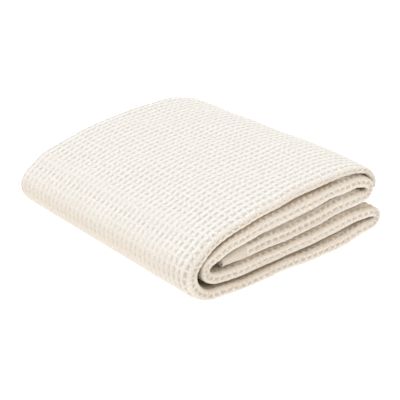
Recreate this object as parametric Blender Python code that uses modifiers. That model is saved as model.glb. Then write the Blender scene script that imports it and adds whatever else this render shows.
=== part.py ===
"""A waffle-weave cotton throw, folded and lying flat.

The cloth is folded in half twice lengthwise, which makes a strip of four plies.
The strip is then folded back and forth into a pile of five layers.
The fold ends of the plies face +X, the free edges face -X, and the pile's round fold faces -Y.
Sizes in the tables are in millimetres; the model is in metres, +Z up.
"""

import math
from typing import NamedTuple

import bmesh
import bpy
import numpy as np

MM = 0.001

# The cloth.
CLOTH_THICKNESS = 2.0
STRIP_LENGTH = 380.0
PLIES = 4
COTTON_CREAM = (0.83, 0.78, 0.70, 1.0)
COTTON_ROUGHNESS = 0.95

# How the pile lies.
END_SKEW = math.radians(2.0)
FAR_END_DROP = 0.12
FAR_CORNER_DROP = 0.08
PILE_HALF_WIDTH = 170.0
PLY_END_STEP = 1.5
PILE_CENTRE_X = -1.9
PILE_CENTRE_Y = 11.8

# Faces along one ply, round the outer end fold and round each inner end fold.
PLY_STEPS = 2
OUTER_FOLD_STEPS = 6
INNER_FOLD_STEPS = 4

# How square a fold of the plies is. The outer end folds are pressed squarer by the pile's weight.
ROUND = 2.0
PRESSED = 3.0

# Below this turn, in radians, a stretch counts as straight.
STRAIGHT_TURN = 0.02


class Section(NamedTuple):
    """One place along the folded strip, as seen from +X: where its middle is and how thick its plies lie.

    y and z place the middle, heading is the way that the strip runs there in degrees (0 is +Y, 90 is +Z),
    thick is the height of its four plies together, back is how far its fold end is set back from the
    pile's end, and steps is the number of faces to the next section.
    """

    name: str
    y: float
    z: float
    heading: float
    thick: float
    back: float
    steps: int


# From the hem inside the pile to the hem on top of it.
SECTIONS = (
    Section("inner hem", -94, 40.5, 8, 11.4, 6, 2),
    Section("third layer, left", -52, 45.0, 5, 20.0, 4, 4),
    Section("third layer, middle", 20, 49.3, 4, 24.0, 3, 4),
    Section("third layer, right", 112, 59.2, 7, 25.0, 3, 2),
    Section("third layer, far right", 138, 62.8, 9, 24.4, 1, 2),
    Section("upper right foot", 153.7, 64.2, 16, 16.5, 1, 3),
    Section("upper right fold", 161.3, 73.6, 90, 12.0, 1, 3),
    Section("upper right shoulder", 143, 87.0, 168, 18.5, 0, 2),
    Section("second layer, right", 108, 86.0, 179, 24.4, 0, 3),
    Section("second layer, middle", 30, 80.3, 185, 28.5, 0, 4),
    Section("second layer, left", -60, 69.3, 190, 25.0, 0, 3),
    Section("inner left shoulder", -100, 58.0, 206, 20.0, 1, 3),
    Section("inner left fold", -122, 38.0, 270, 13.5, 2, 3),
    Section("inner left foot", -98, 23.6, 356, 17.5, 2, 2),
    Section("fourth layer, left", -56, 23.4, 361, 20.6, 2, 4),
    Section("fourth layer, middle", 20, 26.2, 364, 19.0, 2, 4),
    Section("fourth layer, right", 112, 34.5, 367, 21.0, 1, 3),
    Section("lower right shoulder", 154, 37.8, 360, 16.5, 0, 3),
    Section("lower right fold", 175.8, 27.5, 270, 11.4, 0, 3),
    Section("lower right foot", 152, 16.6, 188, 17.5, 0, 2),
    Section("bottom layer, right", 112, 10.2, 183, 20.4, -2, 4),
    Section("bottom layer, middle", 20, 7.4, 180, 15.0, -2, 3),
    Section("bottom layer, left", -60, 5.9, 180, 12.2, -4, 2),
    Section("outer left foot", -112, 6.3, 180, 13.4, -3, 4),
    Section("outer left fold", -147, 40.0, 90, 22.0, 0, 4),
    Section("outer left shoulder", -124, 68.5, 40, 17.5, 0, 2),
    Section("top layer, left", -92, 82.5, 19, 16.0, 0, 3),
    Section("top layer, rise", -30, 98.0, 8, 17.0, 0, 3),
    Section("top layer, middle", 40, 104.8, 3, 17.0, 0, 3),
    Section("top layer, right", 112, 109.2, -3, 14.0, 1, 2),
    Section("top layer, droop", 147, 105.6, -16, 10.8, 1, 2),
    Section("top layer, turned down", 164.8, 96.0, -50, 10.0, 2, 2),
    Section("top layer, end", 172.2, 81.5, -76, 9.8, 3, 2),
    Section("outer hem", 173.9, 70.5, -86, 9.8, 5, 0),
)


def smooth(start, end, share):
    """From start to end with no jolt at either."""
    return start + (end - start) * share * share * (3 - 2 * share)


def arc_pull(turn):
    """How hard a curve leaves its ends, by its chord, so that an even turn comes out as an arc."""
    if abs(turn) < STRAIGHT_TURN:
        return 1.0
    return 2 * math.tan(turn / 4) / math.sin(turn / 2)


def between(start, end, share):
    """Middle, heading, thickness and setback of the strip part of the way from one section to the next."""
    first = np.array((start.y, start.z))
    last = np.array((end.y, end.z))
    from_angle, to_angle = math.radians(start.heading), math.radians(end.heading)
    pull = np.linalg.norm(last - first) * arc_pull(to_angle - from_angle)
    leave = pull * np.array((math.cos(from_angle), math.sin(from_angle)))
    arrive = pull * np.array((math.cos(to_angle), math.sin(to_angle)))
    t, t2, t3 = share, share**2, share**3
    point = (2 * t3 - 3 * t2 + 1) * first + (t3 - 2 * t2 + t) * leave
    point += (3 * t2 - 2 * t3) * last + (t3 - t2) * arrive
    slope = 6 * (t2 - t) * (first - last) + (3 * t2 - 4 * t + 1) * leave + (3 * t2 - 2 * t) * arrive
    along = slope / np.linalg.norm(slope)
    return point, along, smooth(start.thick, end.thick, share), smooth(start.back, end.back, share)


def strip_path():
    """Every step of the strip's way through the pile, from the inner hem to the outer hem."""
    stops = []
    for start, end in zip(SECTIONS, SECTIONS[1:]):
        stops += [between(start, end, step / start.steps) for step in range(start.steps)]
    stops.append(between(SECTIONS[-2], SECTIONS[-1], 1.0))
    return stops


def half_turn(centre_x, centre_h, radius, steps, outward, squareness):
    """Points round an end fold, from its upper side to its lower one, without its two ends."""
    points = []
    for step in range(1, steps):
        angle = math.pi / 2 - math.pi * step / steps
        across, up = math.cos(angle), math.sin(angle)
        reach = radius * (abs(across) ** squareness + abs(up) ** squareness) ** (-1 / squareness)
        points.append((centre_x + outward * reach * across, centre_h + reach * up))
    return points


def across_strip(thick):
    """The four plies across the strip, as (x, height): one line from hem to hem.

    x is 0 at the pile's +X end. The outer ply folds over the inner one at +X, and both meet in a fold at -X.
    """
    pitch = (thick - CLOTH_THICKNESS) / (PLIES - 1)
    inner, outer = pitch / 2, pitch * 3 / 2
    near = -outer
    far = -STRIP_LENGTH + inner
    under_edge, inner_edge = -STRIP_LENGTH + PLY_END_STEP, -STRIP_LENGTH - PLY_END_STEP
    line = [(x, -outer) for x in np.linspace(under_edge, near, PLY_STEPS + 1)]
    line += half_turn(near, 0.0, outer, OUTER_FOLD_STEPS, 1, PRESSED)[::-1]
    line += [(x, outer) for x in np.linspace(near, far, PLY_STEPS + 1)]
    line += half_turn(far, pitch, inner, INNER_FOLD_STEPS, -1, ROUND)
    line += [(x, inner) for x in np.linspace(far, near, PLY_STEPS + 1)]
    line += half_turn(near, 0.0, inner, INNER_FOLD_STEPS, 1, ROUND)
    line += [(x, -inner) for x in np.linspace(near, inner_edge, PLY_STEPS + 1)]
    return line


def folded_point(stop, x, height):
    """Where a point of the strip lies in the pile."""
    middle, along, _, back = stop
    upward = np.array((-along[1], along[0]))
    y, z = middle + upward * height
    x += STRIP_LENGTH / 2 - math.tan(END_SKEW) * (middle[0] - PILE_CENTRE_Y) - back
    y -= PILE_CENTRE_Y
    share = (STRIP_LENGTH / 2 - x) / STRIP_LENGTH
    to_back = min(max(y / PILE_HALF_WIDTH, 0), 1)
    z *= 1 - share * (FAR_END_DROP + FAR_CORNER_DROP * share * to_back**2)
    # The lowest ply is pressed flat by what it lies on.
    z = max(z, CLOTH_THICKNESS / 2)
    return x - PILE_CENTRE_X, y, z


def folded_cloth():
    """The middle surface of the whole cloth, one face for each step along and across the strip."""
    stops = strip_path()
    lines = [across_strip(stop[2]) for stop in stops]
    across = len(lines[0]) - 1
    mesh = bpy.data.meshes.new("throw")
    sheet = bmesh.new()
    bmesh.ops.create_grid(sheet, x_segments=len(stops) - 1, y_segments=across, size=0.5)
    for vert in sheet.verts:
        column = round((vert.co.x + 0.5) * (len(stops) - 1))
        row = round((vert.co.y + 0.5) * across)
        vert.co = np.array(folded_point(stops[column], *lines[column][row])) * MM
    sheet.to_mesh(mesh)
    sheet.free()
    mesh.shade_smooth()
    return mesh


def cotton():
    """Undyed cotton, matt and a little warm."""
    material = bpy.data.materials.new("cream cotton")
    material.use_nodes = True
    shader = material.node_tree.nodes["Principled BSDF"]
    shader.inputs["Base Color"].default_value = COTTON_CREAM
    shader.inputs["Roughness"].default_value = COTTON_ROUGHNESS
    shader.inputs["Metallic"].default_value = 0.0
    return material


def make_throw(collection):
    """The cloth as one solid sheet."""
    throw = bpy.data.objects.new("throw", folded_cloth())
    throw.data.materials.append(cotton())
    collection.objects.link(throw)
    solidify = throw.modifiers.new("cloth thickness", "SOLIDIFY")
    solidify.thickness = CLOTH_THICKNESS * MM
    solidify.offset = 0.0
    solidify.use_even_offset = True
    return throw


def main():
    for obj in list(bpy.data.objects):
        bpy.data.objects.remove(obj, do_unlink=True)
    collection = bpy.data.collections.new("folded throw")
    bpy.context.scene.collection.children.link(collection)
    make_throw(collection)


main()
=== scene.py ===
"""A cream waffle-weave cotton throw, folded and lying flat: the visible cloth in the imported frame.

The cloth is one sheet. It is folded in half twice lengthwise, which makes a strip of four plies, and the
strip is folded back and forth into a pile of five layers. The fold ends of the plies face +X, the free
edges face -X, and the pile's round fold faces -Y.

Flat on the table, a point of the cloth is given by along, from the hem inside the pile to the hem on top
of it, and across, which is 0 at the middle of the outer end fold. Sizes are in millimetres unless a name
says otherwise, and go into the scene in metres.
"""
import math
from typing import NamedTuple

import bmesh
import bpy
import numpy as np
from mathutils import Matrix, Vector


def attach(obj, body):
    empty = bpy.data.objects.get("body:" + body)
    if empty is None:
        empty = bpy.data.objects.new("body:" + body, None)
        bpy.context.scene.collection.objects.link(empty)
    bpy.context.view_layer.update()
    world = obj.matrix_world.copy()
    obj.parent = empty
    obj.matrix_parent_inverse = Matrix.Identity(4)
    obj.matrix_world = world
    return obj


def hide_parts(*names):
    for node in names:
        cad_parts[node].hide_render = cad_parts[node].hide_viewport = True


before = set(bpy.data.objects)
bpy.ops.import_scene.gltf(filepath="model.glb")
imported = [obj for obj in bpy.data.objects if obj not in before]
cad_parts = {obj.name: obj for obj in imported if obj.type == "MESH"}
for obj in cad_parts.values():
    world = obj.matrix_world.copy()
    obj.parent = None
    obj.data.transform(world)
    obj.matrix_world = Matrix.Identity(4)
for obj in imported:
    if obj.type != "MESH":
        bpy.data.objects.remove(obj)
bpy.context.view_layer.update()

MM = 0.001

# The cloth, laid flat.
CLOTH_THICKNESS = 2.0
PLY_LENGTH = 380.0
PLIES = 4
CELL_ACROSS = 10.0
CELL_ALONG = 10.6
# The hems: a wide one at each end of the cloth and a narrow one down each side.
END_HEM = 40.0
SIDE_HEM = 13.0

# How the pile lies. An outer end fold is pressed squarer than a round one, which would be 2.
PRESSED = 3.0
# Its ends are askew. It is lower at the far end by one share of its height, and in the back corner there
# by another.
END_SKEW = math.radians(2.0)
FAR_END_DROP = 0.12
FAR_CORNER_DROP = 0.08
PILE_HALF_WIDTH = 170.0
PILE_CENTRE_X = -1.9
PILE_CENTRE_Y = 11.8


class Section(NamedTuple):
    """One place along the folded strip, as seen from +X.

    y and z place its middle, heading is the way that it runs in degrees (0 is +Y, 90 is +Z), thick is the
    height of its four plies together, and back is how far its end fold is set back from the pile's end.
    """

    name: str
    y: float
    z: float
    heading: float
    thick: float
    back: float


# From the hem inside the pile to the hem on top of it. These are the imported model's sections, apart from
# the right ends of the upper layers, which lie up to 2.7 mm further in and 1.6 mm lower here.
SECTIONS = (
    Section("inner hem", -94, 40.5, 8, 11.4, 6),
    Section("third layer, left", -52, 45.0, 5, 20.0, 4),
    Section("third layer, middle", 20, 49.3, 4, 24.0, 3),
    Section("third layer, right", 112, 59.2, 7, 25.0, 3),
    Section("third layer, far right", 136.5, 62.8, 9, 24.4, 1),
    Section("upper right foot", 152.2, 64.2, 16, 16.5, 1),
    Section("upper right fold", 159.8, 73.6, 90, 12.0, 1),
    Section("upper right shoulder", 141.5, 87.0, 168, 18.5, 0),
    Section("second layer, right", 108, 86.0, 179, 24.4, 0),
    Section("second layer, middle", 30, 80.3, 185, 28.5, 0),
    Section("second layer, left", -60, 69.3, 190, 25.0, 0),
    Section("inner left shoulder", -100, 58.0, 206, 20.0, 1),
    Section("inner left fold", -122, 38.0, 270, 13.5, 2),
    Section("inner left foot", -98, 23.6, 356, 17.5, 2),
    Section("fourth layer, left", -56, 23.4, 361, 20.6, 2),
    Section("fourth layer, middle", 20, 26.2, 364, 19.0, 2),
    Section("fourth layer, right", 112, 34.5, 367, 21.0, 1),
    Section("lower right shoulder", 154, 37.8, 360, 16.5, 0),
    Section("lower right fold", 175.8, 27.5, 270, 11.4, 0),
    Section("lower right foot", 152, 16.6, 188, 17.5, 0),
    Section("bottom layer, right", 112, 10.2, 183, 20.4, -2),
    Section("bottom layer, middle", 20, 7.4, 180, 15.0, -2),
    Section("bottom layer, left", -60, 5.9, 180, 12.2, -4),
    Section("outer left foot", -112, 6.3, 180, 13.4, -3),
    Section("outer left fold", -147, 40.0, 90, 22.0, 0),
    Section("outer left shoulder", -124, 68.5, 40, 17.5, 0),
    Section("top layer, left", -92, 82.5, 19, 16.0, 0),
    Section("top layer, rise", -30, 98.0, 8, 17.0, 0),
    Section("top layer, middle", 40, 104.8, 3, 17.0, 0),
    Section("top layer, right", 112, 109.2, -3, 14.0, 1),
    Section("top layer, droop", 145.5, 104.4, -16, 10.8, 1),
    Section("top layer, turned down", 162.1, 94.4, -50, 10.0, 2),
    Section("top layer, end", 170.7, 81.5, -76, 9.8, 3),
    Section("outer hem", 172.4, 70.5, -86, 9.8, 5),
)
ROW_OF = {section.name: row for row, section in enumerate(SECTIONS)}
# The strip's way is measured at this many places from one section to the next.
STEPS_BETWEEN_SECTIONS = 48
# Below this turn, in radians, a stretch counts as straight.
STRAIGHT_TURN = 0.02


class Groove(NamedTuple):
    """A crease pressed along an end fold, which makes it look like two.

    It runs from the section start to the section end. angle and width are in degrees round the end fold,
    where 0 is the tip and 90 is the strip's upper side.
    """

    start: str
    end: str
    angle: float
    depth: float
    width: float


GROOVES = (
    Groove("third layer, left", "third layer, right", 0, 3.0, 16),
    Groove("second layer, right", "second layer, left", 40, 1.6, 14),
    Groove("fourth layer, left", "fourth layer, right", -20, 1.8, 14),
    Groove("top layer, rise", "top layer, droop", -25, 2.6, 16),
)


class Wave(NamedTuple):
    """One long soft unevenness: its length in each direction, where it starts and how high it is."""

    length_x: float
    length_y: float
    phase: float
    height: float


# Waves in the pile's height, as a share of it, and in how far the end folds stand out along the strip.
PILE_WAVES = (
    Wave(210, 170, 0.4, 0.006),
    Wave(-130, 240, 2.1, 0.005),
    Wave(95, -80, 4.0, 0.0035),
)
END_WAVES = (
    Wave(math.inf, 131, 1.0, 1.0),
    Wave(math.inf, 57, 2.3, 0.35),
)
THICKNESS_WAVES = (
    Wave(math.inf, 77, 0.3, 0.015),
    Wave(math.inf, 43, 1.9, 0.01),
)
# How far in from the end folds their unevenness reaches.
END_REACH = 35.0
# The top layer thins towards its end fold by this share of its thickness, from about this far in.
TOP_THINNING = 0.24
THINNING_REACH = 13.0
# Round a bend as tight as this the cloth is pulled flat, though never wholly. In the small folds inside
# the pile it is pulled less. The pull starts this far from an end fold's tip and is full further in.
PULLED_RADIUS = 34.0
MOST_PULLED = 0.85
SMALL_FOLD_PULL = 0.4
PULL_START = 10.0
PULL_FULL = 70.0
# A pulled cell is shallower by this share.
PULLED_FLATTER = 0.32
# An end fold goes in between its neighbours from the first of these angles to the second, in degrees.
TUCK_START = 74.0
TUCK_END = 98.0
# Rows over which a side of the strip goes from shown to tucked in.
TUCK_FADE = 0.4
# The top layer lies closest on the one below, so the painted shade line under it is dark and starts
# sooner. The painted shade lines between the other layers are this share as dark.
DARK_LINE = ("upper right shoulder", "inner left fold")
DARK_START = 44.0
DARK_END = 58.0
PLAIN_LINE = 0.45
# The far ends of the plies are in the open again.
OPEN_FROM = 330.0
OPEN_TO = 372.0
# The inner face stands this much further in where the plies leave twice the least room between them.
INNER_FACE_SPARE = 0.7
LEAST_ROOM = 1.0
# The weave is pressed flat up to the far fold's tip, and over the inner ply up to its free edge.
FAR_TIP_FROM = 366.0
FAR_TIP_FADE = 10.0
INNER_PLY_FROM = 398.0
INNER_PLY_TO = 1105.0

# The grid. Each cell of the weave is cut this many ways where it shows.
CUTS = 4
CUT_ACROSS = CELL_ACROSS / CUTS
# Across the cloth: its two free edges, and where the outer ply turns back at the far end.
FIRST_EDGE = -385.0
LAST_EDGE = 1135.0
FAR_FOLD = 381.0


class Zone(NamedTuple):
    """A stretch across the cloth, in cells from its first edge.

    hidden_step is the most cells in one cut where the stretch is out of sight.
    """

    name: str
    start: int
    end: int
    hidden_step: float
    always_shown: bool


ZONES = (
    Zone("first edge", 0, 2, 2, True),
    Zone("under ply", 2, 35, 8, False),
    Zone("end fold", 35, 42, 0.5, True),
    Zone("upper ply", 42, 75, 8, False),
    Zone("far fold", 75, 79, 0.25, True),
    Zone("inner upper ply", 79, 113, 8, False),
    Zone("inner end fold", 113, 117, 0.25, False),
    Zone("inner under ply", 117, 150, 8, False),
    Zone("last edge", 150, 152, 2, True),
)


class Shown(NamedTuple):
    """A stretch along the cloth where the outer ply of this zone shows too."""

    zone: str
    start: float
    end: float


SHOWN = (
    Shown("upper ply", ROW_OF["outer left foot"] + 0.3, ROW_OF["outer hem"]),
    Shown("under ply", ROW_OF["third layer, right"] - 0.1, ROW_OF["second layer, right"] + 0.1),
    Shown("upper ply", ROW_OF["fourth layer, right"] - 0.1, ROW_OF["bottom layer, right"]),
    Shown("under ply", ROW_OF["top layer, droop"] - 0.2, ROW_OF["outer hem"]),
)

# The weave's relief: how high the ridges stand, how far the pits lie below them, how high the lower ridges
# are beside the higher ones, how far the floats dip where two ridges cross, and how lumpy the yarn is.
CREST = 0.9
PIT_DEPTH = 2.5
CROSS_RIDGE_SHARE = 0.56
CROSSING_DIP = 0.3
CROSSING_SHARPNESS = 3.0
KNOBBLE = 0.9
HEM_KNOBBLE_SHARE = 0.6
# The level of a plain hem between pit and ridge, how far the weave takes to start beyond it, and the
# groove of its seam.
HEM_LEVEL = 0.6
HEM_FADE = 3.0
SEAM_DEPTH = 0.5
SEAM_WIDTH = 1.6
# How far the threads wander, in cells, and how full the slackest and the tightest cells are.
WEAVE_WANDER = 0.25
LEAST_FULL = 0.75
MOST_FULL = 1.1

# The stitches along the end hems.
STITCH_PITCH = 4.0
STITCH_LENGTH = 3.0
STITCH_WIDTH = 1.0
SEAM_POINTS = 240
# Where the stitches run across the cloth: on top of the pile, and round the end fold inside it.
TOP_STITCHES = (-30.0, FAR_FOLD)
INNER_STITCHES = (-25.0, 25.0)

# The colours of the cloth and of its sewing thread. The pit colour and the gap colour are painted shade,
# and the drift colour is painted shade too where the cloth is pulled round a tight bend.
RIDGE_CREAM = "#F3EFE8"
PIT_PAINTED_SHADE = "#C6BBAA"
THIN_YARN = "#C9BDAA"
DRIFT_AND_BEND_SHADE = "#E4DACC"
HEM_CREAM = "#E0DACE"
HEM_THIN_YARN = "#C4B9A7"
GAP_PAINTED_SHADE = "#7E5E36"
FIBRE_BLOOM = "#FFF8EC"
THREAD_CREAM = "#F7F0E4"
THREAD_SHADE = "#E6DAC6"
# How much of each colour is mixed in where it is strongest.
THIN_YARN_SHARE = 0.3
BEND_SHADE_SHARE = 0.3
DRIFT_SHARE = 0.18
GAP_SHADE_SHARE = 0.8
# How much fainter the pits' painted shade is where the cloth is pulled flat, and how much darker it is
# where ridges cross.
PULLED_PALER = 0.448
CROSSING_SHADE = 0.5
# Yarns are about 0.8 mm apart in such a cloth. They are drawn coarser, at 1.25 mm and eight to a cell, so
# that they show.
YARNS_PER_CELL = 8.0
YARN_BUMP = 0.5
YARN_BUMP_STRENGTH = 0.7

# The camera stands off this far from the point that it looks at.
CAMERA_AIM = (-46.9, 42.7, 1.0)
CAMERA_TURN = math.radians(52.2)
CAMERA_DIP = math.radians(24.5)
CAMERA_DISTANCE = 2262.0
CAMERA_LENS = 144.0

# The nodes that the trees use most.
MATH = "ShaderNodeMath"
VECTOR_MATH = "ShaderNodeVectorMath"
SPLIT = "ShaderNodeSeparateXYZ"
NOISE = "ShaderNodeTexNoise"
MAP_RANGE = "ShaderNodeMapRange"
MIX = "ShaderNodeMix"

# The room: a floor, in metres and bright enough to show almost no shadow, a sky and two soft lamps.
FLOOR_SIZE = 60.0
FLOOR_GREY = "#8C8C8C"
FLOOR_GLOW = "#FAFAFA"
FLOOR_GLOW_STRENGTH = 1.08
SKY_WARM = "#FDF0E2"
SKY_STRENGTH = 0.84


class Lamp(NamedTuple):
    """Soft light from one side, as wide as angle in degrees."""

    name: str
    energy: float
    colour: str
    angle: float
    towards: tuple


LAMPS = (
    Lamp("window", 2.42, "#C6E0FA", 14, (0.22, 0.0, -1.0)),
    Lamp("card", 0.12, "#FFE8CC", 50, (-0.9, 0.0, -0.25)),
)


def linear(hex_colour):
    """An sRGB hex colour as linear RGBA."""
    values = [int(hex_colour[i : i + 2], 16) / 255 for i in (1, 3, 5)]
    return [v / 12.92 if v <= 0.04045 else ((v + 0.055) / 1.055) ** 2.4 for v in values] + [1.0]


def add(tree, kind, feeds=None, **settings):
    """Adds one node. feeds maps an input's name or number to what goes in.

    That is a value, another node's output, or another node, which stands for its first output in use.
    """
    node = tree.nodes.new(kind)
    for name, value in settings.items():
        setattr(node, name, value)
    for key, value in (feeds or {}).items():
        if isinstance(value, bpy.types.Node):
            value = next(output for output in value.outputs if output.enabled)
        if isinstance(value, bpy.types.NodeSocket):
            tree.links.new(value, node.inputs[key])
        else:
            node.inputs[key].default_value = value
    return node


# The folded shape.


def eased(share):
    """From 0 to 1 with no jolt at either."""
    share = np.clip(share, 0, 1)
    return share**2 * (3 - 2 * share)


def arc_pull(turn):
    """How hard a curve leaves its ends, by its chord, so that an even turn comes out as an arc."""
    if abs(turn) < STRAIGHT_TURN:
        return 1.0
    return 2 * math.tan(turn / 4) / math.sin(turn / 2)


def stretch_between(row, shares):
    """Places from one section to the next: row, y, z, heading, thick and back of each."""
    start, end = SECTIONS[row], SECTIONS[row + 1]
    first, last = np.array((start.y, start.z)), np.array((end.y, end.z))
    angles = [math.radians(section.heading) for section in (start, end)]
    pull = np.linalg.norm(last - first) * arc_pull(angles[1] - angles[0])
    leave, arrive = (pull * np.array((math.cos(angle), math.sin(angle))) for angle in angles)
    t = shares[:, None]
    point = (2 * t**3 - 3 * t**2 + 1) * first + (t**3 - 2 * t**2 + t) * leave
    point = point + (3 * t**2 - 2 * t**3) * last + (t**3 - t**2) * arrive
    slope = 6 * (t**2 - t) * (first - last) + (3 * t**2 - 4 * t + 1) * leave
    slope = slope + (3 * t**2 - 2 * t) * arrive
    return np.column_stack(
        (
            row + shares,
            point,
            np.arctan2(slope[:, 1], slope[:, 0]),
            start.thick + (end.thick - start.thick) * eased(shares),
            start.back + (end.back - start.back) * eased(shares),
        )
    )


def strip_way():
    """The strip's way through the pile, one row for each place, with the outer ply's length in front."""
    shares = np.arange(STEPS_BETWEEN_SECTIONS) / STEPS_BETWEEN_SECTIONS
    rows = [stretch_between(row, shares) for row in range(len(SECTIONS) - 1)]
    rows.append(stretch_between(len(SECTIONS) - 2, np.array([1.0])))
    way = np.concatenate(rows)
    way[:, 3] = np.unwrap(way[:, 3])
    steps = np.hypot(np.diff(way[:, 1]), np.diff(way[:, 2]))
    turns = np.abs(np.diff(way[:, 3]))
    outer = outer_radius(way[:, 4])
    steps = steps + turns * (outer[1:] + outer[:-1]) / 2
    return np.column_stack((np.concatenate(([0.0], np.cumsum(steps))), way))


def outer_radius(thick):
    """Radius of the outer end fold where the four plies are this thick together."""
    return (thick - CLOTH_THICKNESS) / 2


def waves(rows, x, y):
    """The sum of a table's waves."""
    turn = 2 * math.pi
    return sum(
        wave.height * np.sin(turn * (x / wave.length_x + y / wave.length_y) + wave.phase)
        for wave in rows
    )


def fold_in_four(across, thick):
    """The strip's cross-section: x from its end fold, height from its middle, and the way outwards."""
    outer = outer_radius(thick)
    inner = outer / (PLIES - 1)
    quarter = outer * math.pi / 2
    far_x = -outer - (FAR_FOLD - quarter)
    far_end = FAR_FOLD + math.pi * inner
    back_again = far_end + (-outer - far_x)
    last_ply = back_again + math.pi * inner
    near_angle = across / outer
    near_x, near_height = np.cos(near_angle), np.sin(near_angle)
    reach = outer * (np.abs(near_x) ** PRESSED + np.abs(near_height) ** PRESSED) ** (-1 / PRESSED)
    steep_x = near_x * np.abs(near_x)
    steep_height = near_height * np.abs(near_height)
    steep = np.hypot(steep_x, steep_height)
    far_angle = (across - FAR_FOLD) / inner
    inner_angle = (across - back_again) / inner
    flat = np.zeros_like(across)
    up = flat + 1
    parts = (
        (across < -quarter, -outer + across + quarter, -outer, flat, -up),
        (
            across <= quarter,
            -outer + reach * near_x,
            reach * near_height,
            steep_x / steep,
            steep_height / steep,
        ),
        (across < FAR_FOLD, -outer - (across - quarter), outer, flat, up),
        (
            across < far_end,
            far_x - inner * np.sin(far_angle),
            2 * inner + inner * np.cos(far_angle),
            -np.sin(far_angle),
            np.cos(far_angle),
        ),
        (across < back_again, far_x + across - far_end, inner, flat, -up),
        (
            across < last_ply,
            -outer + inner * np.sin(inner_angle),
            inner * np.cos(inner_angle),
            -np.sin(inner_angle),
            -np.cos(inner_angle),
        ),
        (up > 0, -outer - (across - last_ply), -inner, flat, up),
    )
    conditions = [part[0] for part in parts]
    return [np.select(conditions, [part[i] for part in parts]) for i in range(1, 5)]


def groove_depth(row, angle):
    """How far the creases press an end fold in, by its place along the strip and round the fold."""
    depth = np.zeros_like(row)
    for groove in GROOVES:
        first, last = ROW_OF[groove.start], ROW_OF[groove.end]
        fade = eased(np.minimum(row - first + 0.5, last + 0.5 - row))
        off_crease = (angle - groove.angle) / groove.width
        depth = depth + groove.depth * fade * np.exp(-(off_crease**2))
    return depth


def laid(way, along, across, lift):
    """Where points of the cloth lie in the pile, lift out from its middle, as an (n, 3) array."""
    row, y, z, heading, thick, back = (
        np.interp(along, way[:, 0], way[:, column]) for column in range(1, 7)
    )
    thick = thick * (1 + waves(THICKNESS_WAVES, 0.0, along))
    x, height, out_x, out_height = fold_in_four(across, thick)
    angle = np.degrees(across / outer_radius(thick))
    x = x + waves(END_WAVES, 0.0, along) * np.exp(x / END_REACH)
    x = x - groove_depth(row, angle) * np.maximum(out_x, 0)
    on_top = eased(row - ROW_OF["outer left fold"])
    thinned = 1 - TOP_THINNING * on_top * np.exp(np.minimum(x, 0) / THINNING_REACH)
    outer = outer_radius(thick)
    height = (height + outer) * thinned - outer
    x = x + out_x * lift
    height = height + out_height * lift
    y_pile = y - np.sin(heading) * height
    z = z + np.cos(heading) * height
    x = x + PLY_LENGTH / 2 - math.tan(END_SKEW) * (y - PILE_CENTRE_Y) - back
    y = y_pile - PILE_CENTRE_Y
    share = (PLY_LENGTH / 2 - x) / PLY_LENGTH
    to_back = np.clip(y / PILE_HALF_WIDTH, 0, 1)
    z = z * (1 - share * (FAR_END_DROP + FAR_CORNER_DROP * share * to_back**2))
    z = z * (1 + waves(PILE_WAVES, x, y))
    # What lies lowest is pressed flat by the floor.
    half = CLOTH_THICKNESS / 2
    upwards = np.sign(np.cos(heading) * out_height)
    z = np.maximum(z, half + np.minimum(lift, half) * upwards)
    return np.column_stack((x - PILE_CENTRE_X, y, z))


def open_sides(row, across):
    """1 where the side of the strip that a point is on lies in the open, and 0 where it is covered."""
    side = np.where(across > 0, "upper ply", "under ply")
    open_side = np.zeros_like(across)
    for shown in SHOWN:
        inside = row - shown.start
        # The last row is the cloth's own end, not a place where it is covered.
        if shown.end < len(SECTIONS) - 1:
            inside = np.minimum(inside, shown.end - row)
        open_side = np.maximum(open_side, eased(inside / TUCK_FADE + 0.5) * (side == shown.zone))
    return open_side


def pressed_flat(row, across, thick):
    """How flat the layers above and below press the weave, from 0 in the open to 1 out of sight."""
    angle = np.degrees(np.abs(across) / outer_radius(thick))
    outer_ply = eased((angle - TUCK_START) / (TUCK_END - TUCK_START)) * (1 - open_sides(row, across))
    outer_ply = outer_ply * (1 - eased((np.abs(across) - FAR_TIP_FROM) / FAR_TIP_FADE))
    inner_ply = eased((across - INNER_PLY_FROM) / FAR_TIP_FADE)
    inner_ply = inner_ply * eased((INNER_PLY_TO - across) / FAR_TIP_FADE)
    return np.maximum(outer_ply, inner_ply)


def painted_gap_shade(row, across, thick):
    """How much painted shade points of the outer face get, from 0 in the open to 1 in between other
    layers.
    """
    angle = np.degrees(np.abs(across) / outer_radius(thick))
    into = PLAIN_LINE * eased((angle - TUCK_START) / (TUCK_END - TUCK_START))
    first, last = (ROW_OF[name] for name in DARK_LINE)
    under_top = eased(np.minimum(row - first, last - row) + 0.5) * (across <= 0)
    into = np.maximum(into, under_top * eased((angle - DARK_START) / (DARK_END - DARK_START)))
    out = eased((np.abs(across) - OPEN_FROM) / (OPEN_TO - OPEN_FROM))
    return into * (1 - open_sides(row, across)) * (1 - out)


# The sheet.


def cut_lines():
    """Cuts across the cloth where it is out of sight, in cuts from its first edge."""
    lines = []
    for zone in ZONES:
        count = math.ceil((zone.end - zone.start) / zone.hidden_step)
        lines += [round(CUTS * line) for line in np.linspace(zone.start, zone.end, count + 1)]
    return sorted(set(lines))


def outer_blocks(columns, rows_at):
    """Blocks of the outer face: column, first and last cut across, and whether the block shows."""
    lines = cut_lines()
    for column in range(columns):
        middle = rows_at[CUTS * column + CUTS // 2]
        seen = {shown.zone for shown in SHOWN if shown.start <= middle <= shown.end}
        for zone in ZONES:
            if zone.always_shown or zone.name in seen:
                yield column, CUTS * zone.start, CUTS * zone.end, True
                continue
            inside = [line for line in lines if CUTS * zone.start <= line <= CUTS * zone.end]
            for start, end in zip(inside, inside[1:]):
                yield column, start, end, False


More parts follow.
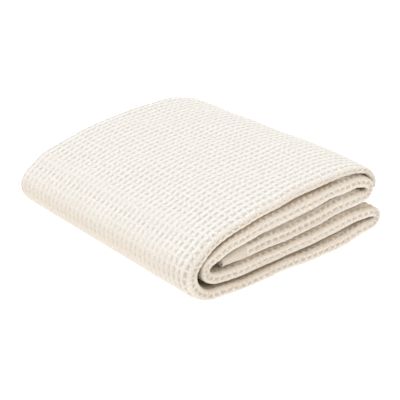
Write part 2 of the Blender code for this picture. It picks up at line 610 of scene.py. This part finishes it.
def ring(column, start, end, used):
    """The used points round a block, in order."""
    left, right = CUTS * column, CUTS * (column + 1)
    loop = [(left, j) for j in range(start, end)]
    loop += [(i, end) for i in range(left, right)]
    loop += [(right, j) for j in range(end, start, -1)]
    loop += [(i, start) for i in range(right, left, -1)]
    return [point for point in loop if point in used]


def sheet_faces(columns, rows_at):
    """Faces of the outer and inner side and of the edges, over points (side, cut along, cut across)."""
    blocks = list(outer_blocks(columns, rows_at))
    used = set()
    for column, start, end, shows in blocks:
        left, right = CUTS * column, CUTS * (column + 1)
        if shows:
            used |= {(i, j) for i in range(left, right + 1) for j in range(start, end + 1)}
        else:
            used |= {(i, j) for i in (left, right) for j in (start, end)}
    faces = []
    for column, start, end, shows in blocks:
        if not shows:
            faces.append([(0, *point) for point in ring(column, start, end, used)])
            continue
        for i in range(CUTS * column, CUTS * (column + 1)):
            for j in range(start, end):
                faces.append([(0, i, j), (0, i, j + 1), (0, i + 1, j + 1), (0, i + 1, j)])
    lines = cut_lines()
    for column in range(columns):
        left, right = CUTS * column, CUTS * (column + 1)
        for start, end in zip(lines, lines[1:]):
            faces.append([(1, left, start), (1, right, start), (1, right, end), (1, left, end)])
    for i in (0, CUTS * columns):
        for start, end in zip(lines, lines[1:]):
            outer = [(0, i, j) for j in range(start, end + 1) if (i, j) in used]
            faces.append(outer + [(1, i, end), (1, i, start)])
    for j in (lines[0], lines[-1]):
        for column in range(columns):
            left, right = CUTS * column, CUTS * (column + 1)
            outer = [(0, i, j) for i in range(left, right + 1) if (i, j) in used]
            faces.append(outer + [(1, right, j), (1, left, j)])
    return faces


def sheet_mesh(way):
    """The cloth with its thickness, smooth so far, and what its relief and its material need to know."""
    length = way[-1, 0]
    columns = round(length / CELL_ALONG)
    cut_along = length / columns / CUTS
    rows_at = np.interp(np.arange(CUTS * columns + 1) * cut_along, way[:, 0], way[:, 1])
    faces = sheet_faces(columns, rows_at)
    points = sorted({point for face in faces for point in face})
    index = {point: i for i, point in enumerate(points)}
    side, i, j = (np.array(values) for values in zip(*points))
    along = i * cut_along
    across = FIRST_EDGE + j * CUT_ACROSS
    row, thick = (np.interp(along, way[:, 0], way[:, column]) for column in (1, 5))
    # Under deep pits the inner face stands a little further in, where the plies leave room for it.
    room = (thick - CLOTH_THICKNESS) / (PLIES - 1) - CLOTH_THICKNESS
    spare = INNER_FACE_SPARE * eased((room - LEAST_ROOM) / LEAST_ROOM) * (np.abs(across) < FAR_FOLD)
    lift = np.where(side == 0, CLOTH_THICKNESS / 2, -CLOTH_THICKNESS / 2 - spare)
    mesh = bpy.data.meshes.new("cloth")
    corners = [[index[point] for point in face] for face in faces]
    mesh.from_pydata(laid(way, along, across, lift) * MM, [], corners)
    cells = np.column_stack((j / CUTS, i / CUTS, np.zeros(len(points))))
    seam = np.minimum(
        np.minimum(along, length - along) - END_HEM,
        np.minimum(across - FIRST_EDGE, LAST_EDGE - across) - SIDE_HEM,
    )
    store(mesh, "cells", "FLOAT_VECTOR", "vector", cells)
    store(mesh, "seam", "FLOAT", "value", seam * MM)
    bend = np.abs(np.gradient(way[:, 4], way[:, 0]))
    pulled = np.clip(np.interp(along, way[:, 0], bend) * PULLED_RADIUS, 0, MOST_PULLED)
    pulled = pulled * eased((np.abs(across) - PULL_START) / (PULL_FULL - PULL_START))
    pulled = pulled * np.where(row > ROW_OF["bottom layer, left"], 1.0, SMALL_FOLD_PULL)
    store(mesh, "pulled", "FLOAT", "value", pulled)
    # Where painted shade goes in between the layers.
    store(mesh, "tucked", "FLOAT", "value", painted_gap_shade(row, across, thick) * (side == 0))
    store(mesh, "outer", "FLOAT", "value", (1 - pressed_flat(row, across, thick)) * (side == 0))
    shell = bmesh.new()
    shell.from_mesh(mesh)
    bmesh.ops.recalc_face_normals(shell, faces=shell.faces)
    shell.to_mesh(mesh)
    shell.free()
    mesh.shade_smooth()
    return mesh, length


def store(mesh, name, kind, field, values):
    """Keeps a value for each point of the mesh."""
    kept = mesh.attributes.new(name, kind, "POINT")
    kept.data.foreach_set(field, np.asarray(values, np.float32).ravel())


# The relief of the weave.


def new_geometry_tree(name, sizes):
    """A geometry node tree with an input for the geometry, for each size and for a material."""
    tree = bpy.data.node_groups.new(name, "GeometryNodeTree")
    face = tree.interface
    face.new_socket("Geometry", in_out="INPUT", socket_type="NodeSocketGeometry")
    for size, value in sizes.items():
        face.new_socket(size, in_out="INPUT", socket_type="NodeSocketFloat").default_value = value
    face.new_socket("Material", in_out="INPUT", socket_type="NodeSocketMaterial")
    face.new_socket("Geometry", in_out="OUTPUT", socket_type="NodeSocketGeometry")
    return tree, add(tree, "NodeGroupInput").outputs


def finish_tree(tree, geometry, material):
    """Ends a tree with real geometry in its material."""
    real = add(tree, "GeometryNodeRealizeInstances", {0: geometry})
    painted = add(tree, "GeometryNodeSetMaterial", {"Geometry": real, "Material": material})
    add(tree, "NodeGroupOutput", {0: painted})


def ridge_height(tree, cells, cross_share, dip):
    """How high the weave stands, from 0 in the middle of a cell to 1 on a ridge."""
    fraction = add(tree, VECTOR_MATH, {0: cells}, operation="FRACTION")
    doubled = add(
        tree, VECTOR_MATH, {0: fraction, 1: (2.0,) * 3, 2: (-1.0,) * 3}, operation="MULTIPLY_ADD"
    )
    nearness = add(tree, SPLIT, {0: add(tree, VECTOR_MATH, {0: doubled}, operation="ABSOLUTE")}).outputs
    cross_ridge = add(tree, MATH, {0: nearness["Y"], 1: cross_share}, operation="MULTIPLY")
    ridge = add(tree, MATH, {0: nearness["X"], 1: cross_ridge}, operation="MAXIMUM")
    # The long floats dive under where two ridges cross.
    both = add(tree, MATH, {0: nearness["X"], 1: nearness["Y"]}, operation="MULTIPLY")
    crossing = add(tree, MATH, {0: both, 1: CROSSING_SHARPNESS}, operation="POWER")
    dipped = add(tree, MATH, {0: crossing, 1: dip}, operation="MULTIPLY")
    return add(tree, MATH, {0: ridge, 1: dipped}, operation="SUBTRACT")


def relief_tree():
    """Raises ridges between the cells on the cloth's outer face and sinks a pit in each of them."""
    sizes = {
        "Crest": CREST * MM,
        "Pit Depth": PIT_DEPTH * MM,
        "Cross Ridge Share": CROSS_RIDGE_SHARE,
        "Crossing Dip": CROSSING_DIP,
        "Hem Level": HEM_LEVEL,
        "Hem Fade": HEM_FADE * MM,
        "Seam Depth": SEAM_DEPTH * MM,
        "Seam Width": SEAM_WIDTH * MM,
        "Weave Wander": WEAVE_WANDER,
        "Knobble": KNOBBLE * MM,
    }
    tree, given = new_geometry_tree("waffle relief", sizes)
    flat_cells = add(
        tree, "GeometryNodeInputNamedAttribute", {"Name": "cells"}, data_type="FLOAT_VECTOR"
    )
    seam, pulled, outer = (
        add(tree, "GeometryNodeInputNamedAttribute", {"Name": name}, data_type="FLOAT")
        for name in ("seam", "pulled", "outer")
    )
    # The threads wander a little, the same way on every run.
    noise = add(
        tree,
        NOISE,
        {"Vector": flat_cells, "W": 3.0, "Scale": 0.7, "Detail": 3.0, "Roughness": 0.6},
        noise_dimensions="4D",
    )
    centred = add(
        tree, VECTOR_MATH, {0: noise.outputs["Color"], 1: (0.5,) * 3}, operation="SUBTRACT"
    )
    shift = add(
        tree, VECTOR_MATH, {0: centred, "Scale": given["Weave Wander"]}, operation="SCALE"
    )
    flattened = add(tree, VECTOR_MATH, {0: shift, 1: (1.0, 1.0, 0.0)}, operation="MULTIPLY")
    cells = add(tree, VECTOR_MATH, {0: flat_cells, 1: flattened}, operation="ADD")
    stored = add(
        tree,
        "GeometryNodeStoreNamedAttribute",
        {"Geometry": given["Geometry"], "Name": "woven cells", "Value": cells},
        data_type="FLOAT_VECTOR",
        domain="POINT",
    )
    # Some cells are pulled flatter than others.
    slack = add(
        tree,
        NOISE,
        {"Vector": flat_cells, "W": 8.0, "Scale": 0.3, "Detail": 1.0},
        noise_dimensions="4D",
    )
    fullness = add(tree, MAP_RANGE, {"Value": slack, 1: 0.3, 2: 0.7, 3: LEAST_FULL, 4: MOST_FULL})
    pull = add(tree, MATH, {0: pulled, 1: -PULLED_FLATTER, 2: 1.0}, operation="MULTIPLY_ADD")
    depth = add(tree, MATH, {0: fullness, 1: pull}, operation="MULTIPLY")
    weave = ridge_height(tree, cells, given["Cross Ridge Share"], given["Crossing Dip"])
    sunk = add(tree, MATH, {0: 1.0, 1: weave}, operation="SUBTRACT")
    sunk = add(tree, MATH, {0: sunk, 1: depth}, operation="MULTIPLY")
    level = add(tree, MATH, {0: 1.0, 1: sunk}, operation="SUBTRACT")
    # The hems are plain.
    waffled = add(
        tree,
        MAP_RANGE,
        {"Value": seam, 1: 0.0, 2: given["Hem Fade"], 3: 0.0, 4: 1.0},
        interpolation_type="SMOOTHSTEP",
    )
    mixed = add(tree, MIX, {0: waffled, 2: given["Hem Level"], 3: level}, data_type="FLOAT")
    below = add(tree, MATH, {0: mixed, 1: 1.0}, operation="SUBTRACT")
    height = add(
        tree, MATH, {0: below, 1: given["Pit Depth"], 2: given["Crest"]}, operation="MULTIPLY_ADD"
    )
    # The yarn is lumpy, and less so in a hem.
    lump = add(
        tree,
        NOISE,
        {"Vector": flat_cells, "W": 5.0, "Scale": 1.7, "Detail": 1.0},
        noise_dimensions="4D",
    )
    lump = add(tree, MATH, {0: lump, 1: 0.5}, operation="SUBTRACT")
    uneven = add(
        tree,
        MATH,
        {0: waffled, 1: 1 - HEM_KNOBBLE_SHARE, 2: HEM_KNOBBLE_SHARE},
        operation="MULTIPLY_ADD",
    )
    lump = add(tree, MATH, {0: lump, 1: uneven}, operation="MULTIPLY")
    height = add(tree, MATH, {0: lump, 1: given["Knobble"], 2: height}, operation="MULTIPLY_ADD")
    # A groove runs where the hems are sewn down.
    off_seam = add(tree, MATH, {0: seam, 1: given["Seam Width"]}, operation="DIVIDE")
    squared = add(tree, MATH, {0: off_seam, 1: off_seam}, operation="MULTIPLY")
    falling = add(tree, MATH, {0: squared, 1: -1.0}, operation="MULTIPLY")
    groove = add(tree, MATH, {0: falling}, operation="EXPONENT")
    sewn_down = add(tree, MATH, {0: groove, 1: given["Seam Depth"]}, operation="MULTIPLY")
    height = add(tree, MATH, {0: height, 1: sewn_down}, operation="SUBTRACT")
    height = add(tree, MATH, {0: height, 1: outer}, operation="MULTIPLY")
    normal = add(tree, "GeometryNodeInputNormal")
    offset = add(tree, VECTOR_MATH, {0: normal, "Scale": height}, operation="SCALE")
    raised = add(tree, "GeometryNodeSetPosition", {"Geometry": stored, "Offset": offset})
    # Nothing reaches below the floor.
    place = add(tree, SPLIT, {0: add(tree, "GeometryNodeInputPosition")}).outputs
    above = add(tree, MATH, {0: place["Z"], 1: 0.0}, operation="MAXIMUM")
    kept = add(tree, "ShaderNodeCombineXYZ", {0: place["X"], 1: place["Y"], 2: above})
    rested = add(tree, "GeometryNodeSetPosition", {"Geometry": raised, "Position": kept})
    stored_mask = add(
        tree,
        "GeometryNodeStoreNamedAttribute",
        {"Geometry": rested, "Name": "waffled", "Value": waffled},
        data_type="FLOAT",
        domain="POINT",
    )
    finish_tree(tree, stored_mask, given["Material"])
    return tree


def stitch_tree():
    """Lays one small rounded stitch at each pitch along a seam."""
    sizes = {
        "Pitch": STITCH_PITCH * MM,
        "Length": STITCH_LENGTH * MM,
        "Width": STITCH_WIDTH * MM,
    }
    tree, given = new_geometry_tree("stitches", sizes)
    points = add(
        tree,
        "GeometryNodeCurveToPoints",
        {"Curve": given["Geometry"], "Length": given["Pitch"]},
        mode="LENGTH",
    )
    bead = add(tree, "GeometryNodeMeshUVSphere", {"Segments": 6, "Rings": 5, "Radius": 0.5})
    size = add(tree, "ShaderNodeCombineXYZ", {0: given["Width"], 1: given["Width"], 2: given["Length"]})
    tangent = points.outputs["Tangent"]
    turned = add(tree, "FunctionNodeAlignRotationToVector", {"Vector": tangent}, axis="Z")
    placed = add(
        tree,
        "GeometryNodeInstanceOnPoints",
        {
            "Points": points.outputs["Points"],
            "Instance": bead.outputs["Mesh"],
            "Rotation": turned,
            "Scale": size,
        },
    )
    finish_tree(tree, placed, given["Material"])
    return tree


def run_tree(obj, tree, material):
    """Runs a tree on an object and gives back its result as a plain mesh."""
    modifier = obj.modifiers.new(tree.name, "NODES")
    modifier.node_group = tree
    for item in tree.interface.items_tree:
        if item.in_out == "INPUT" and item.socket_type == "NodeSocketMaterial":
            modifier[item.identifier] = material
    graph = bpy.context.evaluated_depsgraph_get()
    mesh = bpy.data.meshes.new_from_object(obj.evaluated_get(graph), depsgraph=graph)
    obj.modifiers.remove(modifier)
    return mesh


# The finish.


def waffle_cotton():
    """Undyed combed cotton in a waffle weave, washed soft.

    It is matt and cream, with a faint bloom at grazing angles from loose fibre. The ridges keep the cream;
    the pits, the lines between the layers and the tight bends carry painted shade, warmer and darker.
    """
    material = bpy.data.materials.new("cream waffle cotton")
    material.use_nodes = True
    tree = material.node_tree
    tree.nodes.clear()

    cells = add(tree, "ShaderNodeAttribute", attribute_name="woven cells").outputs["Vector"]
    waffled, pulled, tucked = (
        add(tree, "ShaderNodeAttribute", attribute_name=name).outputs["Fac"]
        for name in ("waffled", "pulled", "tucked")
    )
    # How far down in a cell a point is, from 0 on the ridges to 1 in the middle, which sets the pits'
    # painted shade.
    raised = ridge_height(tree, cells, CROSS_RIDGE_SHARE, CROSSING_SHADE)
    sunk = add(tree, MATH, {0: 1.0, 1: raised}, operation="SUBTRACT")
    sunk = add(tree, MATH, {0: sunk, 1: waffled}, operation="MULTIPLY")
    # The yarns run both ways, and fibre lies over them unevenly.
    yarns = add(tree, VECTOR_MATH, {0: cells, "Scale": YARNS_PER_CELL}, operation="SCALE")
    turns = add(tree, VECTOR_MATH, {0: yarns, "Scale": 2 * math.pi}, operation="SCALE")
    threads = add(tree, SPLIT, {0: add(tree, VECTOR_MATH, {0: turns}, operation="SINE")}).outputs
    crossed = add(tree, MATH, {0: threads["X"], 1: threads["Y"]}, operation="ADD")
    yarn_relief = add(tree, MATH, {0: crossed, 1: 0.25, 2: 0.5}, operation="MULTIPLY_ADD")
    fibre = add(tree, NOISE, {"Vector": cells, "Scale": 3.2, "Detail": 4.0, "Roughness": 0.6})
    relief = add(tree, MATH, {0: fibre, 1: 1.2, 2: yarn_relief}, operation="MULTIPLY_ADD")
    bump = add(
        tree,
        "ShaderNodeBump",
        {"Strength": YARN_BUMP_STRENGTH, "Distance": YARN_BUMP * MM, "Height": relief},
    )
    # Cream on the ridges, painted shade, warmer and darker, down in the cells, and a faint drift over the
    # cloth.
    drift = add(tree, NOISE, {"Vector": cells, "Scale": 0.09, "Detail": 2.0})
    speckle = add(tree, MATH, {0: fibre, 1: 0.5}, operation="SUBTRACT")
    speckle = add(tree, MATH, {0: speckle, 1: 1.1, 2: sunk}, operation="MULTIPLY_ADD")
    shade = add(
        tree,
        MAP_RANGE,
        {"Value": speckle, 1: 0.3, 2: 1.0, 3: 0.0, 4: 1.0},
        interpolation_type="SMOOTHSTEP",
    )
    # Where the cloth is pulled flat the pits' painted shade is fainter.
    paler = add(tree, MATH, {0: pulled, 1: -PULLED_PALER, 2: 1.0}, operation="MULTIPLY_ADD")
    shade = add(tree, MATH, {0: shade, 1: paler}, operation="MULTIPLY")
    cream, pit_shade_colour = linear(RIDGE_CREAM), linear(PIT_PAINTED_SHADE)
    pits = add(tree, MIX, {0: shade, 6: cream, 7: pit_shade_colour}, data_type="RGBA")
    # The yarn is thick and thin, which leaves the ridges uneven too.
    thin = add(tree, MAP_RANGE, {"Value": fibre, 1: 0.42, 2: 0.62, 3: 0.0, 4: THIN_YARN_SHARE})
    uneven = add(tree, MIX, {0: thin, 6: pits, 7: linear(THIN_YARN)}, data_type="RGBA")
    tone = add(tree, MATH, {0: drift, 1: DRIFT_SHARE}, operation="MULTIPLY")
    # Where the cloth is pulled round a tight bend, painted shade goes in with the drift.
    tone = add(tree, MATH, {0: pulled, 1: BEND_SHADE_SHARE, 2: tone}, operation="MULTIPLY_ADD")
    drifted_and_bend_shaded = add(tree, MIX, {0: tone, 6: uneven, 7: linear(DRIFT_AND_BEND_SHADE)}, data_type="RGBA")
    # Plain-woven hems are closer and look a little greyer.
    close, closer = linear(HEM_CREAM), linear(HEM_THIN_YARN)
    hem = add(tree, MIX, {0: thin, 6: close, 7: closer}, data_type="RGBA")
    showing = add(tree, MIX, {0: waffled, 6: hem, 7: drifted_and_bend_shaded}, data_type="RGBA")
    # Painted shade, a dark brown, between two layers, where light comes only by way of the cloth.
    gap_shaded = add(tree, MATH, {0: tucked, 1: GAP_SHADE_SHARE}, operation="MULTIPLY")
    colour = add(tree, MIX, {0: gap_shaded, 6: showing, 7: linear(GAP_PAINTED_SHADE)}, data_type="RGBA")
    shader = add(
        tree,
        "ShaderNodeBsdfPrincipled",
        {
            "Base Color": colour,
            "Roughness": 0.92,
            "IOR": 1.5,
            "Specular IOR Level": 0.25,
            "Sheen Weight": 0.25,
            "Sheen Roughness": 0.55,
            "Sheen Tint": linear(FIBRE_BLOOM),
            "Normal": bump,
        },
    )
    add(tree, "ShaderNodeOutputMaterial", {"Surface": shader})
    return material


def sewing_thread():
    """Spun cotton sewing thread: cream, a little smoother and brighter than the cloth."""
    material = bpy.data.materials.new("cream sewing thread")
    material.use_nodes = True
    tree = material.node_tree
    tree.nodes.clear()
    place = add(tree, "ShaderNodeTexCoord").outputs["Object"]
    # The thread's twist repeats in about a millimetre.
    twist = add(tree, NOISE, {"Vector": place, "Scale": 900.0, "Detail": 2.0})
    light, dark = linear(THREAD_CREAM), linear(THREAD_SHADE)
    colour = add(tree, MIX, {0: twist, 6: light, 7: dark}, data_type="RGBA")
    shader = add(
        tree, "ShaderNodeBsdfPrincipled", {"Base Color": colour, "Roughness": 0.8, "Sheen Weight": 0.15}
    )
    add(tree, "ShaderNodeOutputMaterial", {"Surface": shader})
    return material


# The pieces.


def make_piece(name, mesh):
    """A finished piece at the origin."""
    obj = bpy.data.objects.new(name, mesh)
    bpy.context.scene.collection.objects.link(obj)
    return obj


def make_cloth(way, material):
    mesh, length = sheet_mesh(way)
    cloth = make_piece("waffle_cloth", mesh)
    cloth.data = run_tree(cloth, relief_tree(), material)
    for name in ("seam", "outer", "cells"):
        cloth.data.attributes.remove(cloth.data.attributes[name])
    return cloth, length


def seam_curve(way, length):
    """The seams of the hem on top of the pile and of the one inside it, as lines on the outer face."""
    lift = CLOTH_THICKNESS / 2 + CREST - PIT_DEPTH * (1 - HEM_LEVEL) - SEAM_DEPTH
    curve = bpy.data.curves.new("seams", "CURVE")
    curve.dimensions = "3D"
    for along, run in ((length - END_HEM, TOP_STITCHES), (END_HEM, INNER_STITCHES)):
        across = np.linspace(*run, SEAM_POINTS)
        points = laid(way, np.full_like(across, along), across, np.full_like(across, lift)) * MM
        spline = curve.splines.new("POLY")
        spline.points.add(len(points) - 1)
        spline.points.foreach_set("co", np.column_stack((points, np.ones(len(points)))).ravel())
    return curve


def make_stitches(way, length, material):
    guide = make_piece("seam_guide", seam_curve(way, length))
    stitches = make_piece("hem_stitches", run_tree(guide, stitch_tree(), material))
    bpy.data.objects.remove(guide)
    return stitches


# The room.


def make_floor():
    """White paper: matt, and as bright as the photograph's background, so it shows almost no shadow."""
    mesh = bpy.data.meshes.new("floor")
    half = FLOOR_SIZE / 2
    corners = [(-half, -half, 0), (half, -half, 0), (half, half, 0), (-half, half, 0)]
    mesh.from_pydata(corners, [], [(0, 1, 2, 3)])
    floor = make_piece("floor", mesh)
    material = bpy.data.materials.new("white paper floor")
    material.use_nodes = True
    shader = material.node_tree.nodes["Principled BSDF"]
    shader.inputs["Base Color"].default_value = linear(FLOOR_GREY)
    shader.inputs["Roughness"].default_value = 0.9
    shader.inputs["Specular IOR Level"].default_value = 0.1
    shader.inputs["Emission Color"].default_value = linear(FLOOR_GLOW)
    shader.inputs["Emission Strength"].default_value = FLOOR_GLOW_STRENGTH
    mesh.materials.append(material)


def make_lamp(lamp):
    sun = bpy.data.lights.new(lamp.name, "SUN")
    sun.energy = lamp.energy
    sun.color = linear(lamp.colour)[:3]
    sun.angle = math.radians(lamp.angle)
    stand = bpy.data.objects.new(lamp.name, sun)
    stand.rotation_mode = "QUATERNION"
    stand.rotation_quaternion = Vector(lamp.towards).to_track_quat("-Z", "Y")
    bpy.context.scene.collection.objects.link(stand)


def make_light():
    """Warm light from all round, cool light from above and a little warm light on the fold ends."""
    world = bpy.data.worlds.new("warm studio")
    world.use_nodes = True
    sky = world.node_tree.nodes["Background"]
    sky.inputs["Color"].default_value = linear(SKY_WARM)
    sky.inputs["Strength"].default_value = SKY_STRENGTH
    bpy.context.scene.world = world
    for lamp in LAMPS:
        make_lamp(lamp)


def make_camera():
    """Looks down on the corner between the pile's fold ends and its round fold, as in the photograph."""
    turn, dip = CAMERA_TURN, CAMERA_DIP
    level = math.cos(dip)
    ahead = Vector((-math.sin(turn) * level, math.cos(turn) * level, -math.sin(dip)))
    data = bpy.data.cameras.new("camera")
    data.lens = CAMERA_LENS
    camera = bpy.data.objects.new("camera", data)
    camera.location = (Vector(CAMERA_AIM) - ahead * CAMERA_DISTANCE) * MM
    camera.rotation_mode = "QUATERNION"
    camera.rotation_quaternion = ahead.to_track_quat("-Z", "Y")
    bpy.context.scene.collection.objects.link(camera)
    bpy.context.scene.camera = camera


def main():
    make_camera()
    make_light()
    make_floor()
    # The photograph is bright and plain, so light is shown as it falls, with no film curve.
    bpy.context.scene.view_settings.view_transform = "Standard"
    way = strip_way()
    cloth, length = make_cloth(way, waffle_cotton())
    stitches = make_stitches(way, length, sewing_thread())
    for piece in (cloth, stitches):
        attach(piece, "root")
    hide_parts("throw")


main()
